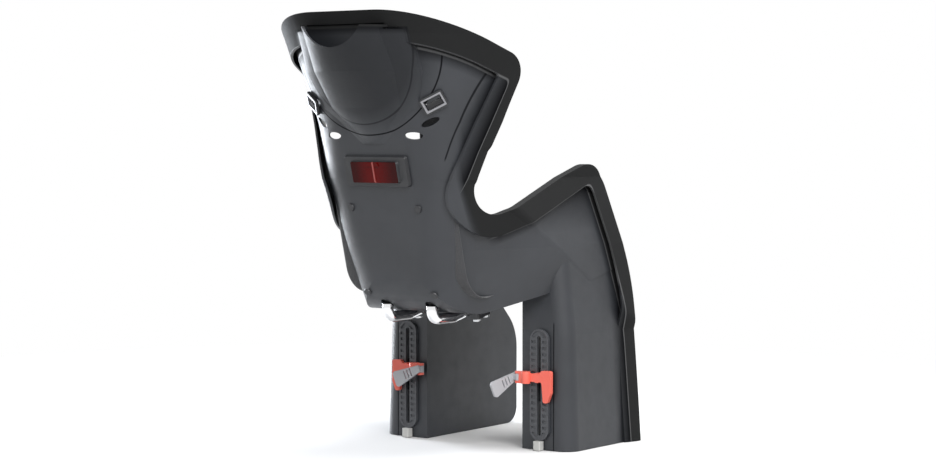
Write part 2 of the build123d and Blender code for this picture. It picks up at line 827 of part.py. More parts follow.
with BuildPart() as leg_shield:
    add(leg_wall(rail_x, leg_top))
    add(rim_region, mode=Mode.INTERSECT)
    add(cavity.part, mode=Mode.SUBTRACT)
    add(leg_wall(leg_inner_x, pan_height + wall / 2))
    add(rim_region, mode=Mode.INTERSECT)
    with BuildSketch(Plane.YZ.offset(leg_inner_x)):
        pan_point = meet(*pan_line(-wall), (pan_front, 0), 90)
        with BuildLine():
            FilletPolyline(
                (leg_rear_y, 0),
                (inner_wall_front, 0),
                (inner_wall_front, inner_wall_bend),
                pan_point,
                radius=[inner_wall_corner, inner_wall_radius],
            )
            Polyline(pan_point, (leg_rear_y, pan_height + wall / 2), (leg_rear_y, 0))
        make_face()
    extrude(amount=wall)
    with Locations((rail_x, leg_rear_y, (slot_low + slot_high) / 2)):
        Box(slot_width + slot_clearance, 4 * wall, slot_length + slot_clearance, mode=Mode.SUBTRACT)
    mirror(about=Plane.YZ)

with BuildPart() as pan_front_edge:
    with BuildSketch(Plane.YZ):
        front_top = meet(*pan_line(-wall / 2), (pan_front, 0), 90)
        with BuildLine():
            FilletPolyline(
                (leg_rear_y, pan_height + wall / 2),
                front_top,
                (pan_front + pan_front_drop / 3, front_top[1] - pan_front_drop),
                radius=pan_front_radius,
            )
        trace(line_width=wall)
    extrude(amount=leg_inner_x + wall / 2, both=True)

with BuildPart() as seat_shell:
    add(skin(0, -wall))
    add(outside_region, mode=Mode.INTERSECT, clean=False)
    add(rim_region, mode=Mode.INTERSECT, clean=False)
    add(pan_floor.part, clean=False)
    add(pan_front_edge.part, clean=False)
    add(leg_shield.part, clean=False)
    add(rim_fold.part, clean=False)
    add(rim_lip.part, clean=False)
    add(pocket_walls.part, clean=False)
    add(pocket_hollow.part, mode=Mode.SUBTRACT, clean=False)
    add(scoop_wall.part, clean=False)
    with Locations((0, 0, -far)):
        Box(4 * far, 4 * far, 2 * far, mode=Mode.SUBTRACT)
    add(shell_holes.part, mode=Mode.SUBTRACT, clean=False)


# Labels and files
seat_shell.part.label = "seat_shell"
reflector_bezel.part.label = "reflector_bezel"
reflector_lens.part.label = "reflector_lens"
rail_left.part.label = "rail_left"
rail_right.part.label = "rail_right"
foot_left.part.label = "foot_left"
foot_right.part.label = "foot_right"
support_bar.part.label = "support_bar"
bar_clamp.part.label = "bar_clamp"
clamp_screws.part.label = "clamp_screws"
harness_frame_left.part.label = "harness_frame_left"
harness_frame_right.part.label = "harness_frame_right"
strap_left.part.label = "strap_left"
strap_right.part.label = "strap_right"
shoulder_pad_left.part.label = "shoulder_pad_left"
shoulder_pad_right.part.label = "shoulder_pad_right"
crotch_strap.part.label = "crotch_strap"
buckle_body.part.label = "buckle_body"
buckle_tongue_left.part.label = "buckle_tongue_left"
buckle_tongue_right.part.label = "buckle_tongue_right"
buckle_button.part.label = "buckle_button"
seat_cushion.part.label = "seat_cushion"
cushion_clips.part.label = "cushion_clips"
footrest_left.part.label = "footrest_left"
footrest_right.part.label = "footrest_right"
foot_strap_left.part.label = "foot_strap_left"
foot_strap_right.part.label = "foot_strap_right"
latch_left.part.label = "latch_left"
latch_right.part.label = "latch_right"
lever_left.part.label = "lever_left"
lever_right.part.label = "lever_right"
lever_pin_left.part.label = "lever_pin_left"
lever_pin_right.part.label = "lever_pin_right"

export_step(seat_shell.part, "parts/seat_shell.step")
export_step(reflector_bezel.part, "parts/reflector_bezel.step")
export_step(reflector_lens.part, "parts/reflector_lens.step")
export_step(rail_left.part, "parts/rail_left.step")
export_step(rail_right.part, "parts/rail_right.step")
export_step(foot_left.part, "parts/foot_left.step")
export_step(foot_right.part, "parts/foot_right.step")
export_step(support_bar.part, "parts/support_bar.step")
export_step(bar_clamp.part, "parts/bar_clamp.step")
export_step(clamp_screws.part, "parts/clamp_screws.step")
export_step(harness_frame_left.part, "parts/harness_frame_left.step")
export_step(harness_frame_right.part, "parts/harness_frame_right.step")
export_step(strap_left.part, "parts/strap_left.step")
export_step(strap_right.part, "parts/strap_right.step")
export_step(shoulder_pad_left.part, "parts/shoulder_pad_left.step")
export_step(shoulder_pad_right.part, "parts/shoulder_pad_right.step")
export_step(crotch_strap.part, "parts/crotch_strap.step")
export_step(buckle_body.part, "parts/buckle_body.step")
export_step(buckle_tongue_left.part, "parts/buckle_tongue_left.step")
export_step(buckle_tongue_right.part, "parts/buckle_tongue_right.step")
export_step(buckle_button.part, "parts/buckle_button.step")
export_step(seat_cushion.part, "parts/seat_cushion.step")
export_step(cushion_clips.part, "parts/cushion_clips.step")
export_step(footrest_left.part, "parts/footrest_left.step")
export_step(footrest_right.part, "parts/footrest_right.step")
export_step(foot_strap_left.part, "parts/foot_strap_left.step")
export_step(foot_strap_right.part, "parts/foot_strap_right.step")
export_step(latch_left.part, "parts/latch_left.step")
export_step(latch_right.part, "parts/latch_right.step")
export_step(lever_left.part, "parts/lever_left.step")
export_step(lever_right.part, "parts/lever_right.step")
export_step(lever_pin_left.part, "parts/lever_pin_left.step")
export_step(lever_pin_right.part, "parts/lever_pin_right.step")
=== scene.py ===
import json
import math
import bmesh
import bpy
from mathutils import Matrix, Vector
from mathutils.bvhtree import BVHTree


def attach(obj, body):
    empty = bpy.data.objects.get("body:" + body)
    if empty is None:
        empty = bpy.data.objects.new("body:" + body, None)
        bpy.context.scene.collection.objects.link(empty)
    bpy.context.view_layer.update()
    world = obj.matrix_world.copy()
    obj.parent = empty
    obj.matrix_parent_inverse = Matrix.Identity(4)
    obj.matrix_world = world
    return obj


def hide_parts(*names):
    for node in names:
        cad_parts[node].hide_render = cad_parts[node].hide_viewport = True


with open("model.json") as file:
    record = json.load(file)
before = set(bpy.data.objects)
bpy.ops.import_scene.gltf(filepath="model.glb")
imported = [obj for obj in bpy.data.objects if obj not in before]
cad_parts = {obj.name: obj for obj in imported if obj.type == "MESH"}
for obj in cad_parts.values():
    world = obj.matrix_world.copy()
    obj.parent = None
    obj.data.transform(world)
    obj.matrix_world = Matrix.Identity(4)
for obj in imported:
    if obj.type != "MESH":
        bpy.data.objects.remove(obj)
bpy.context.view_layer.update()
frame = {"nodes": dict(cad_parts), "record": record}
nodes = frame["nodes"]
scene = bpy.context.scene
scene.view_settings.view_transform = "Standard"
MM = 0.001

# Uneven plastic: noise scales per metre, and how far the noise goes
NOISE_DETAIL = 3.0
NOISE_BAND = (0.3, 0.7)
CLOUD_SCALE = 9.0
GLOSS_SCALE, GLOSS_CHANGE = 60.0, 0.06
GRAIN_SCALE, GRAIN_DETAIL = 1400.0, 2.0
GRAIN_DEPTH, GRAIN_STRENGTH = 0.00025, 0.6

# Uneven metal
TARNISH_SCALE, TARNISH_DARK = 25.0, 0.9
SCRATCH_SCALE, SCRATCH_SMOOTH, SCRATCH_ROUGH = 400.0, 0.7, 1.4

# Woven cloth
CLOTH_ROUGH = 0.9
THREAD_WANDER, THREAD_DETAIL, CROSS_THREAD = 1.2, 2.0, 0.5
WEAVE_DEPTH, WEAVE_STRENGTH = 0.0005, 0.7
CLOTH_SCALE, CLOTH_BAND = 18.0, (0.3, 1.6)
CLOTH_DARK, CLOTH_LIGHT = 0.55, 1.5

# Rim of the shell from the side, as depth and height in metres
BRIM, WING_TIP, NECK = (-0.330, 0.660), (-0.093, 0.565), (-0.150, 0.326)
ARM_TIP, KNEE, FOOT = (0.160, 0.433), (0.216, 0.245), (0.222, -0.040)
RIM_LINE = (BRIM, WING_TIP, NECK, ARM_TIP, KNEE, FOOT)
RIM_BLEND = 0.02

# Painted shade on the rim's folded lip, a pale painted highlight line on its inner edge and painted
# shade behind it
LIP_WIDTH, HEAD_LIP_WIDTH, LEG_LIP_WIDTH = 0.033, 0.013, 0.020
LIP_EDGE = (LIP_WIDTH - 0.001, LIP_WIDTH + 0.0005)
LIP_FRONT = (0.003, 0.006)
LIP_SIDE, LIP_TOP = (0.120, 0.127), (0.555, 0.565)
LIP_FACES_OUT = (-0.05, 0.1)
POCKET_SIDE, POCKET_TOP = (0.098, 0.102), (0.608, 0.610)
EDGE_HIGHLIGHT_LINE, EDGE_HIGHLIGHT_SHARE = (0.0006, 0.0020), 0.8
LIP_SHADE, LIP_SHADE_SHARE = (LIP_WIDTH, LIP_WIDTH + 0.014), 0.7
HEAD_SHADE = (HEAD_LIP_WIDTH, HEAD_LIP_WIDTH + 0.030)
HEAD_SHADE_FROM = (0.32, 0.40)
LEG_SHADE = (LEG_LIP_WIDTH, LEG_LIP_WIDTH + 0.030)
LEG_SHADE_UP_TO = (0.20, 0.30)

# Lines round the helmet pocket: half width, height of the middle and drop below it
OUTER_BOWL = (0.130, 0.600, 0.138)
INNER_BOWL = (0.098, 0.585, 0.108)

# Grooves: their width, where they end, and the curve of the line down each side of the back
OUTER_BOWL_SHARE, INNER_BOWL_SHARE, SIDE_LINE_SHARE = 1.0, 0.55, 0.9
GROOVE_EDGE = (0.0005, 0.0012)
GROOVE_FACES_BACK = (0.3, 0.4)
BACK_GROOVES_FROM = (0.425, 0.430)
SIDE_LINE_FOOT, SIDE_LINE_START = 0.428, 0.1065
SIDE_LINE_SLOPE, SIDE_LINE_BEND = 0.34, 0.81
RAIL_GROOVE, RAIL_GROOVE_UP_TO = 0.1435, (0.185, 0.190)

# Shade in the helmet pocket
POCKET_SHADE, POCKET_SHADE_EDGE = 0.6, (-0.030, 0.002)
UNDER_BRIM, UNDER_BRIM_SIDE = (0.588, 0.607), (0.1, 0.102)
POCKET_FACES_BACK = (0.1, 0.3)

# Reflector lens, by distance from its middle: painted shade away from the middle and a painted
# highlight along the ridge in the middle
LENS_SHINE = 0.12
LENS_PAINTED_SHADE, LENS_PAINTED_SHADE_SHARE = (0.006, 0.032), 0.8
LENS_RIDGE_HIGHLIGHT, LENS_RIDGE_HIGHLIGHT_SHARE = (0.0006, 0.0018), 0.5


# Materials
def tree_of(name):
    mat = bpy.data.materials.new(name)
    mat.use_nodes = True
    shader = mat.node_tree.nodes["Principled BSDF"]
    return mat, mat.node_tree, shader


def node(tree, kind, **values):
    """New node, with values for its inputs or for its own settings."""
    made = tree.nodes.new(kind)
    for key, value in values.items():
        if key in made.inputs.keys():
            made.inputs[key].default_value = value
        else:
            setattr(made, key, value)
    return made


def calc(tree, operation, *values):
    """One sum in a material, of numbers and other sums."""
    made = node(tree, "ShaderNodeMath", operation=operation)
    for socket, value in zip(made.inputs, values):
        if isinstance(value, (int, float)):
            socket.default_value = value
        else:
            tree.links.new(value, socket)
    return made.outputs[0]


def spread(tree, value, band, low, high):
    """Low at the start of a band of the value, high at its end, and even between them."""
    made = node(tree, "ShaderNodeMapRange")
    names = ("From Min", "From Max", "To Min", "To Max")
    for name, number in zip(names, (*band, low, high)):
        made.inputs[name].default_value = number
    tree.links.new(value, made.inputs["Value"])
    return made.outputs["Result"]


def rise(tree, value, band, share=1.0):
    """Nothing before a band of the value, and the share after it."""
    return spread(tree, value, band, 0.0, share)


def fall(tree, value, band, share=1.0):
    """The share before a band of the value, and nothing after it."""
    return spread(tree, value, band, share, 0.0)


def both(tree, first, *others):
    """Product of shares."""
    for other in others:
        first = calc(tree, "MULTIPLY", first, other)
    return first


def either(tree, first, *others):
    """Greatest of shares."""
    for other in others:
        first = calc(tree, "MAXIMUM", first, other)
    return first


def noise(tree, scale, detail=NOISE_DETAIL):
    place = node(tree, "ShaderNodeTexCoord")
    made = node(tree, "ShaderNodeTexNoise", Scale=scale, Detail=detail)
    tree.links.new(place.outputs["Object"], made.inputs["Vector"])
    return made.outputs["Fac"]


def mix(tree, share, kind):
    """Mix of two values of one kind: its two inputs and its result."""
    made = node(tree, "ShaderNodeMix", data_type="RGBA" if kind == "RGBA" else "FLOAT")
    tree.links.new(share, made.inputs["Factor"])
    first, second = [i for i in made.inputs if i.type == kind and i.name in ("A", "B")]
    return first, second, [o for o in made.outputs if o.type == kind][0]


def two_tone(tree, share, dark, light):
    first, second, tone = mix(tree, share, "RGBA")
    first.default_value = (*dark, 1)
    second.default_value = (*light, 1)
    return tone


def bump(tree, shader, height, distance, strength):
    made = node(tree, "ShaderNodeBump", Strength=strength, Distance=distance)
    tree.links.new(height, made.inputs["Height"])
    tree.links.new(made.outputs["Normal"], shader.inputs["Normal"])


def plastic(name, color, rough, change=0.18, grain=GRAIN_SCALE, grain_depth=GRAIN_DEPTH):
    """Moulded plastic: fine grain, cloudy tone and uneven gloss."""
    mat, tree, shader = tree_of(name)
    dark = [c * (1 - change) for c in color]
    light = [min(1.0, c * (1 + change)) for c in color]
    cloud = rise(tree, noise(tree, CLOUD_SCALE), NOISE_BAND)
    tree.links.new(two_tone(tree, cloud, dark, light), shader.inputs["Base Color"])
    smooth, dull = rough - GLOSS_CHANGE, rough + GLOSS_CHANGE
    gloss = spread(tree, noise(tree, GLOSS_SCALE), NOISE_BAND, smooth, dull)
    tree.links.new(gloss, shader.inputs["Roughness"])
    bump(tree, shader, noise(tree, grain, GRAIN_DETAIL), grain_depth, GRAIN_STRENGTH)
    return mat


def metal(name, color, rough):
    """Bare metal: slight tarnish and fine scratches."""
    mat, tree, shader = tree_of(name)
    shader.inputs["Metallic"].default_value = 1.0
    dark = [c * TARNISH_DARK for c in color]
    tone = two_tone(tree, noise(tree, TARNISH_SCALE), dark, color)
    tree.links.new(tone, shader.inputs["Base Color"])
    smooth, dull = rough * SCRATCH_SMOOTH, rough * SCRATCH_ROUGH
    gloss = spread(tree, noise(tree, SCRATCH_SCALE), NOISE_BAND, smooth, dull)
    tree.links.new(gloss, shader.inputs["Roughness"])
    return mat


def cloth(name, color, pitch, sheen):
    """Woven cloth: crossing sets of threads, and a soft change of tone."""
    mat, tree, shader = tree_of(name)
    shader.inputs["Roughness"].default_value = CLOTH_ROUGH
    shader.inputs["Sheen Weight"].default_value = sheen
    place = node(tree, "ShaderNodeTexCoord")
    threads = []
    for axis in ("X", "Y", "Z"):
        wave = node(tree, "ShaderNodeTexWave", wave_type="BANDS", bands_direction=axis)
        wave.inputs["Scale"].default_value = 1 / pitch
        wave.inputs["Distortion"].default_value = THREAD_WANDER
        wave.inputs["Detail Scale"].default_value = THREAD_DETAIL
        tree.links.new(place.outputs["Object"], wave.inputs["Vector"])
        threads.append(wave.outputs["Fac"])
    across, along, up = threads
    weave = calc(tree, "MULTIPLY_ADD", along, CROSS_THREAD, both(tree, across, up))
    cloud = calc(tree, "ADD", noise(tree, CLOTH_SCALE), weave)
    dark = [c * CLOTH_DARK for c in color]
    light = [min(1.0, c * CLOTH_LIGHT) for c in color]
    tone = two_tone(tree, rise(tree, cloud, CLOTH_BAND), dark, light)
    tree.links.new(tone, shader.inputs["Base Color"])
    bump(tree, shader, weave, WEAVE_DEPTH, WEAVE_STRENGTH)
    return mat


def tinted(mat, share, color, rough, shine):
    """Second tone and gloss over part of a plastic."""
    tree = mat.node_tree
    shader = tree.nodes["Principled BSDF"]
    looks = {"Base Color": (*color, 1), "Roughness": rough, "Specular IOR Level": shine}
    for name, value in looks.items():
        socket = shader.inputs[name]
        first, second, result = mix(tree, share, socket.type)
        first.default_value = socket.default_value
        if socket.links:
            tree.links.new(socket.links[0].from_socket, first)
        second.default_value = value
        tree.links.new(result, socket)


def seen_from(tree):
    """Place of a point and how far its face looks out and back.

    The place is its distance from the seat's middle, its depth and its height.
    """
    geometry = node(tree, "ShaderNodeNewGeometry")
    place = node(tree, "ShaderNodeSeparateXYZ")
    facing = node(tree, "ShaderNodeSeparateXYZ")
    tree.links.new(geometry.outputs["Position"], place.inputs[0])
    tree.links.new(geometry.outputs["Normal"], facing.inputs[0])
    x, y, z = place.outputs
    out = calc(tree, "MULTIPLY", facing.outputs["X"], calc(tree, "SIGN", x))
    back = calc(tree, "MULTIPLY", facing.outputs["Y"], -1.0)
    return calc(tree, "ABSOLUTE", x), y, z, out, back


def behind(tree, y, z, start, end):
    """Distance behind one straight run of the rim, seen from the side."""
    run = (Vector(end) - Vector(start)).normalized()
    across = calc(tree, "MULTIPLY", calc(tree, "SUBTRACT", y, start[0]), run.y)
    along = calc(tree, "MULTIPLY", calc(tree, "SUBTRACT", z, start[1]), run.x)
    return calc(tree, "SUBTRACT", across, along)


def rim_depth(tree, y, z):
    """Distance behind the rim, stretched where its lip is narrow, and behind head and leg."""
    ends = zip(RIM_LINE, RIM_LINE[1:])
    brim, head, seat, arm, leg = [behind(tree, y, z, p, q) for p, q in ends]
    wide_head = calc(tree, "MULTIPLY", head, LIP_WIDTH / HEAD_LIP_WIDTH)
    wide_leg = calc(tree, "MULTIPLY", leg, LIP_WIDTH / LEG_LIP_WIDTH)
    upper = calc(tree, "SMOOTH_MIN", brim, wide_head, RIM_BLEND)
    lower = calc(tree, "SMOOTH_MIN", seat, arm, RIM_BLEND)
    lower = calc(tree, "SMOOTH_MIN", lower, wide_leg, RIM_BLEND)
    return calc(tree, "SMOOTH_MAX", upper, lower, RIM_BLEND), head, leg


def rim_tones(tree):
    """Painted shade on the outside of the rim's folded lip, a pale painted highlight line on its
    inner edge, and painted shade behind.
    """
    x, y, z, out, back = seen_from(tree)
    depth, head, leg = rim_depth(tree, y, z)
    outward = rise(tree, either(tree, out, back), LIP_FACES_OUT)
    outside = either(tree, outward, fall(tree, depth, LIP_FRONT))
    off_back = either(tree, rise(tree, x, LIP_SIDE), rise(tree, z, LIP_TOP))
    off_pocket = either(tree, rise(tree, x, POCKET_SIDE), rise(tree, z, POCKET_TOP))
    seen = both(tree, off_back, outside, off_pocket)
    # painted shade: the outside of the lip is darker and less glossy
    lip = fall(tree, depth, LIP_EDGE)
    from_edge = calc(tree, "ABSOLUTE", calc(tree, "SUBTRACT", depth, LIP_WIDTH))
    # painted highlight: a pale line along the lip's inner edge
    line = fall(tree, from_edge, EDGE_HIGHLIGHT_LINE, EDGE_HIGHLIGHT_SHARE)
    below = fall(tree, depth, LIP_SHADE, LIP_SHADE_SHARE)
    beside = both(tree, fall(tree, head, HEAD_SHADE), rise(tree, z, HEAD_SHADE_FROM))
    inside_leg = both(tree, fall(tree, leg, LEG_SHADE), fall(tree, z, LEG_SHADE_UP_TO))
    shade = either(tree, below, beside, inside_leg)
    return [both(tree, part, seen) for part in (lip, line, shade)]


def bowl(tree, x, z, half, middle, drop):
    """Distance from a line round the pocket's bottom, upright above its middle."""
    across = calc(tree, "DIVIDE", x, half)
    low = calc(tree, "MAXIMUM", calc(tree, "SUBTRACT", middle, z), 0.0)
    below = calc(tree, "DIVIDE", low, drop)
    across, below = [calc(tree, "POWER", part, 2.0) for part in (across, below)]
    reach = calc(tree, "SQRT", calc(tree, "ADD", across, below))
    return calc(tree, "MULTIPLY", calc(tree, "SUBTRACT", reach, 1.0), half)


def groove(tree, line, share=1.0):
    """Fine mark along the line where the given distance is nothing."""
    return fall(tree, calc(tree, "ABSOLUTE", line), GROOVE_EDGE, share)


def grooves(tree):
    """Moulded lines: two round the pocket, one down each side and one beside each rail."""
    x, _, z, _, back = seen_from(tree)
    above = calc(tree, "SUBTRACT", z, SIDE_LINE_FOOT)
    bent = calc(tree, "MULTIPLY", both(tree, above, above), SIDE_LINE_BEND)
    straight = calc(tree, "MULTIPLY_ADD", above, SIDE_LINE_SLOPE, SIDE_LINE_START)
    side = calc(tree, "SUBTRACT", x, calc(tree, "ADD", straight, bent))
    on_back = either(
        tree,
        groove(tree, bowl(tree, x, z, *OUTER_BOWL), OUTER_BOWL_SHARE),
        groove(tree, bowl(tree, x, z, *INNER_BOWL), INNER_BOWL_SHARE),
        groove(tree, side, SIDE_LINE_SHARE),
    )
    by_rail = groove(tree, calc(tree, "SUBTRACT", x, RAIL_GROOVE))
    marks = either(
        tree,
        both(tree, on_back, rise(tree, z, BACK_GROOVES_FROM)),
        both(tree, by_rail, fall(tree, z, RAIL_GROOVE_UP_TO)),
    )
    return both(tree, marks, rise(tree, back, GROOVE_FACES_BACK))


def pocket_shade(tree):
    """Soft shade inside the pocket's outer line, on faces that look back."""
    x, _, z, _, back = seen_from(tree)
    inside = fall(tree, bowl(tree, x, z, *OUTER_BOWL), POCKET_SHADE_EDGE, POCKET_SHADE)
    under_brim = both(tree, rise(tree, z, UNDER_BRIM), fall(tree, x, UNDER_BRIM_SIDE))
    return both(tree, either(tree, inside, under_brim), rise(tree, back, POCKET_FACES_BACK))


shell_mat = plastic("shell_plastic", (0.029, 0.0315, 0.037), rough=0.42)
shell_nodes = shell_mat.node_tree
# Painted shade on the rim's lip and behind it, and a painted highlight line on the lip's inner edge
rim_lip_painted_shade, rim_painted_highlight, rim_shade = rim_tones(shell_nodes)
for tone_share, tone_color, tone_rough, tone_shine in (
    (pocket_shade(shell_nodes), (0.008, 0.0085, 0.010), 0.5, 0.08),
    (grooves(shell_nodes), (0.003, 0.003, 0.004), 0.7, 0.1),
    (rim_shade, (0.002, 0.002, 0.0025), 0.6, 0.0),
    # painted shade on the rim's folded lip
    (rim_lip_painted_shade, (0.020, 0.0203, 0.0207), 0.6, 0.06),
    # painted highlight along the lip's inner edge
    (rim_painted_highlight, (0.095, 0.096, 0.099), 0.4, 0.5),
):
    tinted(shell_mat, tone_share, tone_color, tone_rough, tone_shine)

lens_mat = plastic(
    "lens_plastic", (0.13, 0.0022, 0.0018), rough=0.22, change=0.35, grain=320.0, grain_depth=0.0004
)
lens_nodes = lens_mat.node_tree
lens_nodes.nodes["Principled BSDF"].inputs["Specular IOR Level"].default_value = LENS_SHINE
lens_x = seen_from(lens_nodes)[0]
lens_painted_shade = rise(lens_nodes, lens_x, LENS_PAINTED_SHADE, LENS_PAINTED_SHADE_SHARE)
lens_ridge_highlight = fall(lens_nodes, lens_x, LENS_RIDGE_HIGHLIGHT, LENS_RIDGE_HIGHLIGHT_SHARE)
# painted shade: the lens darkens away from its middle
tinted(lens_mat, lens_painted_shade, (0.020, 0.001, 0.001), rough=0.25, shine=LENS_SHINE)
# painted highlight: a bright streak on the ridge down the lens's middle
tinted(lens_mat, lens_ridge_highlight, (0.75, 0.22, 0.20), rough=0.2, shine=0.3)

# Pale bevel materials: a painted highlight along the bevelled edges of levers, rails and the
# reflector's bezel
painted_edge_highlight_mat = plastic("painted_edge_highlight", (0.72, 0.73, 0.75), rough=0.35, change=0.05)
rail_mat = plastic("rail_plastic", (0.070, 0.073, 0.081), rough=0.36)
painted_ridge_highlight_mat = plastic("painted_ridge_highlight", (0.150, 0.156, 0.170), rough=0.34)
frame_mat = plastic("frame_plastic", (0.020, 0.021, 0.023), rough=0.38)
latch_mat = plastic(
    "latch_plastic", (1.0, 0.175, 0.125), rough=0.32, change=0.05, grain_depth=0.0001
)
cushion_mat = cloth("cushion_cover", (0.060, 0.061, 0.066), pitch=0.0016, sheen=0.3)
webbing_mat = cloth("webbing", (0.022, 0.022, 0.024), pitch=0.0020, sheen=0.15)
by_slot = {
    "shell_plastic": shell_mat,
    "dark_plastic": plastic("dark_plastic", (0.027, 0.028, 0.031), rough=0.38),
    "lever_plastic": plastic("lever_plastic", (0.50, 0.505, 0.53), rough=0.36, change=0.06),
    "latch_plastic": latch_mat,
    "foot_plastic": plastic("foot_plastic", (0.60, 0.60, 0.58), rough=0.45, change=0.05),
    "lens_plastic": lens_mat,
    "chrome_tube": metal("chrome_tube", (0.86, 0.86, 0.87), rough=0.08),
    "steel": metal("steel", (0.58, 0.59, 0.60), rough=0.30),
    "cushion_cover": cushion_mat,
    "webbing": webbing_mat,
}
own_mats = {
    "rail_left": rail_mat,
    "rail_right": rail_mat,
    "harness_frame_left": frame_mat,
    "harness_frame_right": frame_mat,
}
for part in frame["record"]["subparts"]:
    name = part["node"]
    mats = nodes[name].data.materials
    mats.clear()
    mats.append(own_mats.get(name, by_slot[part["material_slot"]]))


# Soft pieces, in millimetres
WELD = 1e-6
WEBBING_WIDTH, WEBBING_THICK, WEBBING_SIDES = 22.0, 1.8, 16
SEAM_WIDTH = 5.0


def piece(name, points, faces, mat):
    """Smooth mesh from points in millimetres, riding on the seat."""
    maker = bmesh.new()
    corners = [maker.verts.new(Vector(p) * MM) for p in points]
    for face in faces:
        maker.faces.new([corners[i] for i in face])
    bmesh.ops.remove_doubles(maker, verts=maker.verts, dist=WELD)
    bmesh.ops.recalc_face_normals(maker, faces=maker.faces)
    mesh = bpy.data.meshes.new(name)
    maker.to_mesh(mesh)
    maker.free()
    for face in mesh.polygons:
        face.use_smooth = True
    obj = bpy.data.objects.new(name, mesh)
    scene.collection.objects.link(obj)
    mesh.materials.append(mat)
    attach(obj, "seat")
    return obj


def pillow(name, place, half, length, corner, edge, low, high, nx, ns):
    """Stuffed pad with rounded corners.

    place(x, s, h) gives its points, and low(x, s) and high(x, s) its two faces.
    """
    points, faces = [], []
    for side in (-1, 1):
        first = len(points)
        for i in range(ns + 1):
            s = length * (0.5 - 0.5 * math.cos(math.pi * i / ns))
            end = min(s, length - s)
            width = half - corner + math.sqrt(corner ** 2 - max(corner - end, 0) ** 2)
            for j in range(nx + 1):
                x = -width * math.cos(math.pi * j / nx)
                inside = min(max(min(width - abs(x), end), 0) / edge, 1)
                swell = math.sqrt(1 - (1 - inside) ** 2)
                floor_h, top_h = low(x, s), high(x, s)
                h = (floor_h + top_h) / 2 + side * swell * (top_h - floor_h) / 2
                points.append(place(x, s, h))
        for i in range(ns):
            for j in range(nx):
                k = first + i * (nx + 1) + j
                faces.append((k, k + 1, k + nx + 2, k + nx + 1))
    obj = piece(name, points, faces, cushion_mat)
    return obj


def seam(x, at, width=SEAM_WIDTH):
    """Dip of a sewn line, one at its middle."""
    return math.exp(-((x - at) / width) ** 2)


def band_rings(points, across, up, width, thick):
    """Rings of a flat band with rounded edges along a line of points."""
    outline = []
    for k in range(WEBBING_SIDES):
        angle = 2 * math.pi * (k + 0.5) / WEBBING_SIDES
        c, d = math.cos(angle), math.sin(angle)
        x = math.copysign(width / 2 - thick / 2, c) + c * thick / 2
        outline.append((x, d * thick / 2))
    rings = []
    for p, a, u in zip(points, across, up):
        rings.append([Vector(p) + a * x + u * y for x, y in outline])
    return rings


def lofted(name, rings, mat):
    """Solid through a row of rings, closed at both ends."""
    count = len(rings[0])
    points = [p for ring in rings for p in ring]
    faces = []
    for i in range(len(rings) - 1):
        a, b = i * count, (i + 1) * count
        for j in range(count):
            k = (j + 1) % count
            faces.append((a + j, a + k, b + k, b + j))
    faces.append(tuple(reversed(range(count))))
    faces.append(tuple(range(len(points) - count, len(points))))
    return piece(name, points, faces, mat)


def smooth_line(points, across, steps=10):
    """Points of a smooth curve through the given ones, with their directions across and up."""
    points = [Vector(p) for p in points]
    last = len(points) - 1
    line, sides = [], []
    for i in range(last):
        p, q = points[i], points[i + 1]
        span = (q - p).length
        out = (q - points[max(i - 1, 0)]).normalized() * span
        back = (points[min(i + 2, last)] - p).normalized() * span
        for k in range(steps + (i == last - 1)):
            t = k / steps
            line.append(
                p * (2 * t ** 3 - 3 * t ** 2 + 1)
                + out * (t ** 3 - 2 * t ** 2 + t)
                + q * (3 * t ** 2 - 2 * t ** 3)
                + back * (t ** 3 - t ** 2)
            )
            sides.append(Vector(across[i]).lerp(Vector(across[i + 1]), t))
    ends = zip(line[:1] + line[:-1], line[1:] + line[-1:])
    ways = [(after - before).normalized() for before, after in ends]
    sides = [(a - w * a.dot(w)).normalized() for a, w in zip(sides, ways)]
    ups = [w.cross(a) for w, a in zip(ways, sides)]
    return line, sides, ups


def webbing(name, points, across, stands_for):
    line, sides, ups = smooth_line(points, across)
    rings = band_rings(line, sides, ups, WEBBING_WIDTH, WEBBING_THICK)
    obj = lofted(name, rings, webbing_mat)
    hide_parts(stands_for)


# Seat cushion, along the back and out over the pan
back_top = Vector((0, -173.4, 440))
bend = Vector((0, -113.3, 210.3))
pan_end = Vector((0, 150, 268.2))
bend_radius = 60.8
cushion_half, cushion_corner, cushion_edge = 108, 28, 9
cushion_lowest, cushion_highest, shell_gap = -10.0, 8.0, 1.6
cushion_top, cushion_crown, crown_half, cushion_least = 8.5, 3.0, 110, 3.0
channel_at, channel_depth = 62, 4.0
bend_seam_width, back_seam_share = 7, 0.45
ripple_high, ripple_along, ripple_across = 0.5, (17, 40), (23, 31)
probe_from, probe_reach = 40, 80
down = (bend - back_top).normalized()
ahead = (pan_end - bend).normalized()
turn = down.angle(ahead)
tangent = bend_radius * math.tan(turn / 2)
back_run = (bend - back_top).length - tangent
bend_run = bend_radius * turn
cushion_length = back_run + bend_run + (pan_end - bend).length - tangent

shell_mesh = bmesh.new()
shell_mesh.from_mesh(nodes["seat_shell"].data)
shell_mesh.transform(nodes["seat_shell"].matrix_world)
shell_tree = BVHTree.FromBMesh(shell_mesh)
shell_mesh.free()


def square_to(way):
    """Direction towards the shell, square to a way along the cushion."""
    return Vector((0, way.z, -way.y))


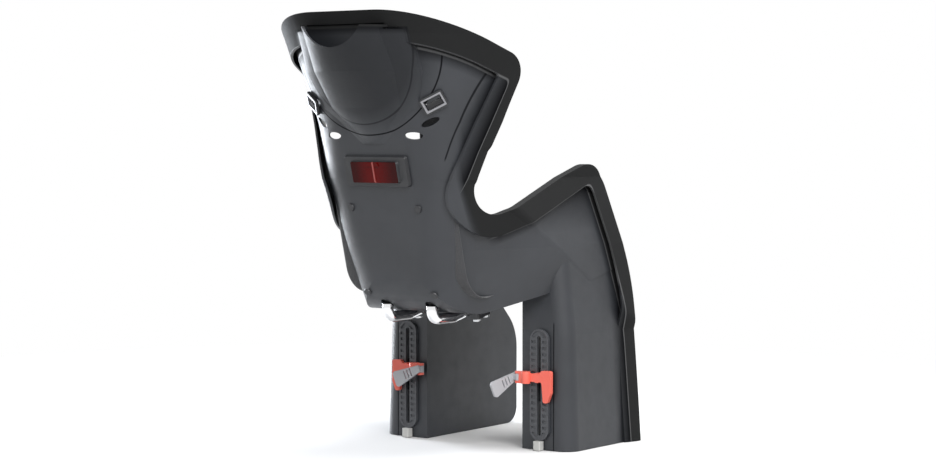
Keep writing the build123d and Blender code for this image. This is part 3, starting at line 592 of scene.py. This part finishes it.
def cushion_spot(s):
    """Point on the cushion's middle line and the direction towards the shell."""
    if s < back_run:
        way, p = down, back_top + down * s
    elif s > back_run + bend_run:
        way = ahead
        p = bend + ahead * (s - back_run - bend_run + tangent)
    else:
        angle = (s - back_run) / bend_radius
        from_back = math.sin(turn - angle) / math.sin(turn)
        way = down * from_back + ahead * (math.sin(angle) / math.sin(turn))
        way.normalize()
        centre = back_top + down * back_run - square_to(down) * bend_radius
        p = centre + square_to(way) * bend_radius
    return p, square_to(way)


def cushion_place(x, s, h):
    p, out = cushion_spot(s)
    return p + Vector((x, 0, 0)) - out * h


def to_shell(x, s):
    """Height of the shell's inside under the cushion, below its middle line."""
    start = cushion_place(x, s, probe_from)
    hit = shell_tree.ray_cast(start * MM, cushion_spot(s)[1], probe_reach * MM)
    return probe_from - hit[3] / MM if hit[0] else cushion_lowest


def cushion_low(x, s):
    return min(max(to_shell(x, s) + shell_gap, cushion_lowest), cushion_highest)


def ripple(x, s):
    """Slight unevenness of the cover over its filling."""
    first = math.sin(s / ripple_along[0] + x / ripple_across[0])
    second = math.sin(x / ripple_across[1] - s / ripple_along[1])
    return ripple_high * first * second


def cushion_high(x, s):
    line = max(
        seam(abs(x), channel_at),
        seam(s, back_run + bend_run / 2, bend_seam_width),
        seam(s, back_run * back_seam_share),
    )
    crown = cushion_crown * math.cos(x / crown_half * math.pi / 2) + ripple(x, s)
    sewn = cushion_top + crown - channel_depth * line
    return max(sewn, cushion_low(x, s) + cushion_least)


cushion = pillow(
    "cushion", cushion_place, cushion_half, cushion_length, cushion_corner, cushion_edge,
    cushion_low, cushion_high, nx=44, ns=110,
)
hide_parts("seat_cushion")

# Shoulder straps with their pads, and a pale painted highlight on the strap frames' inner rings
strap_start = Vector((101.26, -183.77, 510.76))
strap_across = Vector((0.709, 0.689, 0.152))
strap_out = Vector((0.576, -0.441, -0.688))
strap_run = Vector((-0.407, 0.575, -0.709))
strap_length, strap_lead = 213.1, 8
tail_end, tail_end_out, tail_bend, tail_bend_out, ring_inside = 6, 3.2, 2, 3.0, 6
pad_from, pad_length, pad_half = 16.7, 120.0, 22.0
pad_corner, pad_edge, pad_high = 12, 6, 6.2
pad_seams, pad_seam_width, pad_seam_depth = (0.33, 0.67), 4, 2.2
ring_at = Vector((106.0, -190.91, 508.0))
ring_across = Vector((0.815, 0.368, 0.447))
ring_along = Vector((-0.242, -0.485, 0.841))
ring_out = Vector((0.526, -0.793, -0.306))
ring_half, ring_width, ring_fade = Vector((13.0, 7.5)) * MM, 0.0026, 0.0003


def frame_ring_highlight_share(tree):
    """One on the inner ring of the strap frames, where the painted highlight goes, mirrored about
    the seat's middle.
    """
    place = seen_from(tree)[:3]
    reach = []
    for axis, inner in zip((ring_across, ring_along), ring_half):
        share = 0.0
        for value, start, part in zip(place, ring_at * MM, axis):
            from_start = calc(tree, "SUBTRACT", value, start)
            share = calc(tree, "MULTIPLY_ADD", from_start, part, share)
        reach.append(calc(tree, "SUBTRACT", calc(tree, "ABSOLUTE", share), inner))
    return fall(tree, either(tree, *reach), (ring_width - ring_fade, ring_width))


def pad_top(x, s):
    dips = [seam(s, pad_length * at, pad_seam_width) for at in pad_seams]
    return pad_high - pad_seam_depth * max(dips)


def pad_bottom(x, s):
    return -pad_top(x, s)


# painted highlight: a pale inner ring on the strap frames
tinted(frame_mat, frame_ring_highlight_share(frame_mat.node_tree), (0.30, 0.30, 0.32), rough=0.35, shine=0.5)
for side, name in ((1, "right"), (-1, "left")):
    mirror = Vector((side, 1, 1))

    def pad_place(x, s, h, mirror=mirror):
        along = strap_start + strap_run * (pad_from + s)
        return (along + strap_across * x + strap_out * h) * mirror

    pad = pillow(
        f"pad_{name}", pad_place, pad_half, pad_length, pad_corner, pad_edge,
        pad_bottom, pad_top, nx=18, ns=44,
    )
    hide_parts(f"shoulder_pad_{name}")
    in_ring = [
        ring_at - ring_along * tail_end + ring_out * tail_end_out,
        ring_at - ring_along * tail_bend + ring_out * tail_bend_out,
        ring_at,
        ring_at - ring_out * ring_inside,
    ]
    runs = (strap_lead, strap_length * 0.5, strap_length)
    on_strap = [strap_start + strap_run * run for run in runs]
    widths = [ring_across] * len(in_ring) + [strap_across] * len(on_strap)
    webbing(
        f"webbing_{name}",
        [p * mirror for p in in_ring + on_strap],
        [a * mirror for a in widths],
        f"strap_{name}",
    )

crotch_points = [
    (0, -49, 208.6),
    (0, -46, 209.2),
    (0, -43.6, 212),
    (0, -43.3, 222),
    (0, -43.3, 255),
    (0, -43.3, 291.5),
]
crotch_across = [(1, 0, 0)] * len(crotch_points)
webbing("crotch_webbing", crotch_points, crotch_across, "crotch_strap")

# Web of the shell that joins the scoop's back to the inside of the brim's lip
web_half, web_flat, web_low, web_high = 92.0, 62.0, 602.0, 617.0
web_back, web_sweep, web_curve, web_thick = -249.5, 6.0, 1.5, 1.6
web_steps = 24


def web_ring(x):
    """Upright section of the web, which sweeps forward beyond its flat middle."""
    bent = max(abs(x) - web_flat, 0) / (web_half - web_flat)
    y = web_back + web_sweep * bent ** web_curve
    near, far = y - web_thick / 2, y + web_thick / 2
    corners = ((near, web_low), (near, web_high), (far, web_high), (far, web_low))
    return [Vector((x, y, z)) for y, z in corners]


web_rings = [web_ring(web_half * (2 * k / web_steps - 1)) for k in range(web_steps + 1)]
lofted("brim_web", web_rings, shell_mat)

# Rounded edges on the moulded and machined pieces, in metres; levers, rails and the reflector's
# bezel get a pale painted highlight on their bevels
EDGE_WELD, EDGE_SEGMENTS, EDGE_ANGLE = 0.00002, 2, 35


def soften(name, width, painted_edge_highlight_mat=None):
    weld = nodes[name].modifiers.new("weld", "WELD")
    weld.merge_threshold = EDGE_WELD
    mod = nodes[name].modifiers.new("edge", "BEVEL")
    if painted_edge_highlight_mat:
        nodes[name].data.materials.append(painted_edge_highlight_mat)
        mod.material = 1
    mod.width = width
    mod.segments = EDGE_SEGMENTS
    mod.limit_method = "ANGLE"
    mod.angle_limit = math.radians(EDGE_ANGLE)


for side in ("left", "right"):
    soften(f"latch_{side}", 0.001)
    soften(f"harness_frame_{side}", 0.0009)
    soften(f"lever_{side}", 0.0011, painted_edge_highlight_mat)
    soften(f"rail_{side}", 0.0007, painted_ridge_highlight_mat)
soften("buckle_body", 0.0015)
soften("buckle_button", 0.001)
soften("reflector_bezel", 0.0012, painted_ridge_highlight_mat)

# Floor, light and camera
WHITE = (1, 1, 1, 1)
FLOOR_RADIUS, FLOOR_SIDES, FLOOR_DROP = 30, 96, 0.0005
FLOOR_ROUGH, FLOOR_SHINE = 0.9, 0.1
FLOOR_SEEN, FLOOR_BOUNCE = (0.82, 0.82, 0.82), (0.36, 0.36, 0.36)
FLOOR_FADE = (0.55, 1.6)
SKY_LIGHT, SKY_SEEN = 0.32, 1.0
LENS_MM, SENSOR_MM = 84.6, 36.0
CAMERA_AT, CAMERA_DIP, CAMERA_TURN = (1.9213, -2.6097, 0.4720), 2.758, 36


def shows_white(tree):
    """One where the background is seen, straight or mirrored, and nothing where it lights."""
    path = node(tree, "ShaderNodeLightPath").outputs
    return either(
        tree, path["Is Camera Ray"], path["Is Glossy Ray"], path["Is Transmission Ray"]
    )


def shader_blend(tree, share, first, second, output):
    """First shader where the share is nothing, second where it is one."""
    made = node(tree, "ShaderNodeMixShader")
    tree.links.new(share, made.inputs["Fac"])
    tree.links.new(first.outputs[0], made.inputs[1])
    tree.links.new(second.outputs[0], made.inputs[2])
    tree.links.new(made.outputs[0], tree.nodes[output].inputs["Surface"])


def floor_paint():
    """Paint that holds the seat's shadow and fades into the white round it."""
    mat, tree, shader = tree_of("floor_paint")
    shader.inputs["Roughness"].default_value = FLOOR_ROUGH
    shader.inputs["Specular IOR Level"].default_value = FLOOR_SHINE
    seen = shows_white(tree)
    tone = two_tone(tree, seen, FLOOR_BOUNCE, FLOOR_SEEN)
    tree.links.new(tone, shader.inputs["Base Color"])
    place = node(tree, "ShaderNodeTexCoord")
    length = node(tree, "ShaderNodeVectorMath", operation="LENGTH")
    tree.links.new(place.outputs["Object"], length.inputs[0])
    far = rise(tree, length.outputs["Value"], FLOOR_FADE)
    glow = node(tree, "ShaderNodeEmission", Strength=1.0)
    shader_blend(tree, both(tree, far, seen), shader, glow, "Material Output")
    return mat


floor_mesh = bpy.data.meshes.new("floor")
floor = bpy.data.objects.new("floor", floor_mesh)
scene.collection.objects.link(floor)
maker = bmesh.new()
bmesh.ops.create_circle(maker, cap_ends=True, segments=FLOOR_SIDES, radius=FLOOR_RADIUS)
maker.to_mesh(floor_mesh)
maker.free()
floor.location.z = -FLOOR_DROP
floor_mesh.materials.append(floor_paint())

world = bpy.data.worlds.new("studio")
scene.world = world
world.use_nodes = True
sky = world.node_tree
light = sky.nodes["Background"]
light.inputs["Color"].default_value = WHITE
light.inputs["Strength"].default_value = SKY_LIGHT
backdrop = node(sky, "ShaderNodeBackground", Color=WHITE, Strength=SKY_SEEN)
shader_blend(sky, shows_white(sky), light, backdrop, "World Output")


def lamp(name, place, target, size, watts, color=(1, 1, 1)):
    data = bpy.data.lights.new(name, "AREA")
    data.shape = "RECTANGLE"
    data.energy = watts
    data.size, data.size_y = size
    data.color = color
    obj = bpy.data.objects.new(name, data)
    scene.collection.objects.link(obj)
    obj.location = place
    way = Vector(target) - Vector(place)
    obj.rotation_euler = way.to_track_quat("-Z", "Y").to_euler()


cool = (0.88, 0.93, 1.0)
lamp("left", (-2.1, 0.35, 0.75), (-0.1, -0.1, 0.35), size=(0.7, 1.6), watts=66, color=cool)
lamp("top", (0.6, 0.3, 2.5), (0, 0.1, 0.3), size=(1.6, 1.6), watts=52)
lamp("right", (2.3, -1.3, 2.0), (0, 0, 0.3), size=(1.2, 1.2), watts=50)
lamp("rear", (1.5, -2.4, 2.1), (0, 0, 0.3), size=(1.2, 1.2), watts=44)

camera = bpy.data.objects.new("camera", bpy.data.cameras.new("camera"))
scene.collection.objects.link(camera)
camera.data.lens = LENS_MM
camera.data.sensor_width = SENSOR_MM
camera.location = CAMERA_AT
camera.rotation_euler = (math.radians(90 - CAMERA_DIP), 0, math.radians(CAMERA_TURN))
scene.camera = camera
